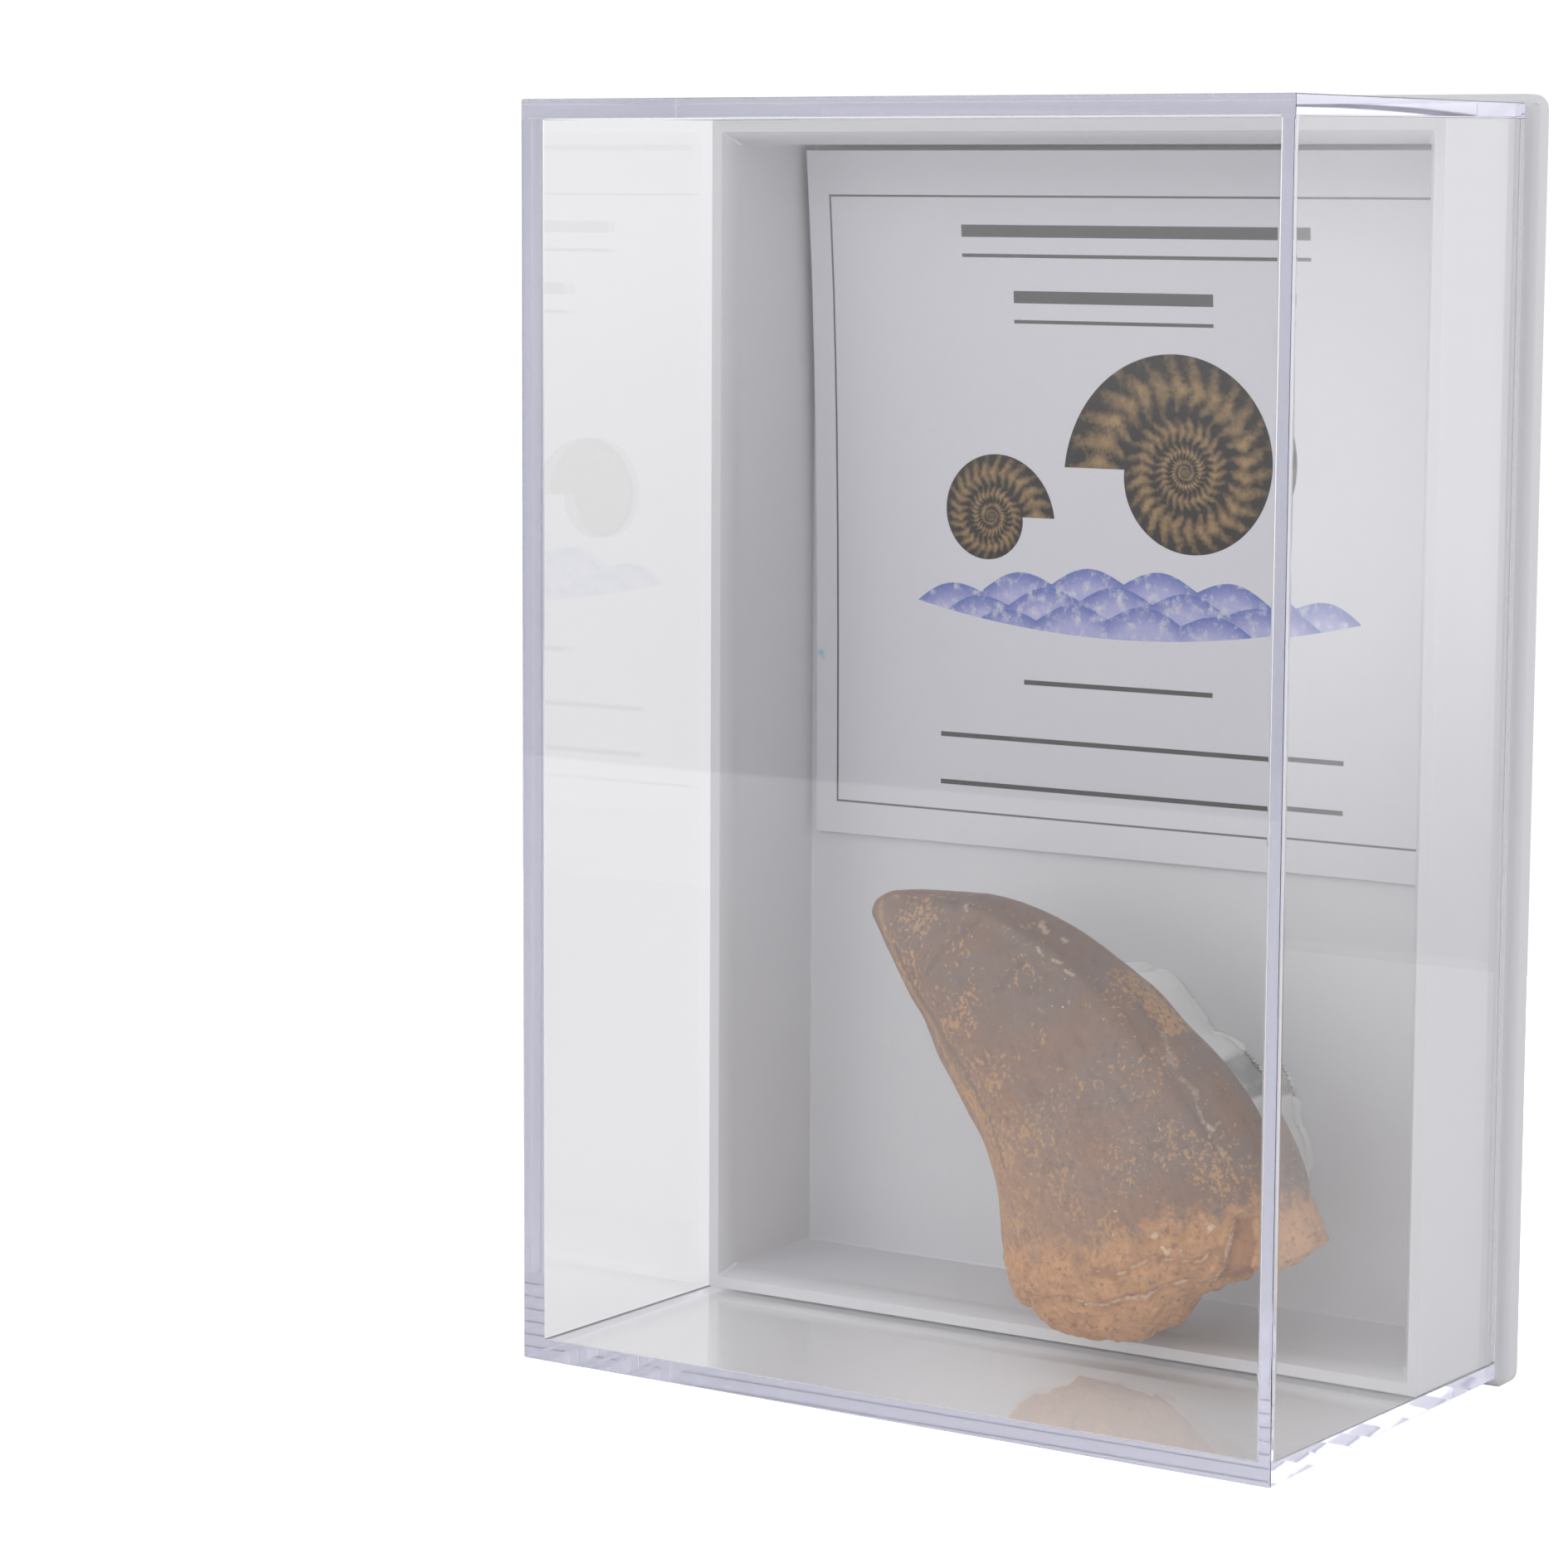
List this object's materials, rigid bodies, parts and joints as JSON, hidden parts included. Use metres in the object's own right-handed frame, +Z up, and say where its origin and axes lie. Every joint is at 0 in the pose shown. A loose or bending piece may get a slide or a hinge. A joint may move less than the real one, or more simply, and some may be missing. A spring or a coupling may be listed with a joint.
{
  "type": "fossil tooth in display box",
  "caption": "Curved fossil mosasaur tooth with smooth crown and broken root, held by putty in a small clear-fronted display box with a white base and label card.",
  "frame": {"origin": "on the surface the box stands on, under the middle of the box", "axes": "+Z up along the box's long side, +Y from the clear front to the white back, +X to the right as seen from the front"},
  "size_m": [0.052, 0.03, 0.076],
  "materials": {
    "clear_polystyrene": "clear, polished mould, glossy",
    "white_polystyrene": "opaque white, satin gloss",
    "printed_card": "smooth uncoated card with dark grey printed lines",
    "adhesive_putty": "soft satin, smoothed by hand",
    "fossil_tooth": "smooth enamel with a dull sheen, matt porous root"
  },
  "bodies": {
    "root": {"clear_cover": "clear_polystyrene", "base_tray": "white_polystyrene", "label_card": "printed_card", "putty": "adhesive_putty", "tooth": "fossil_tooth"}
  },
  "joints": []
}
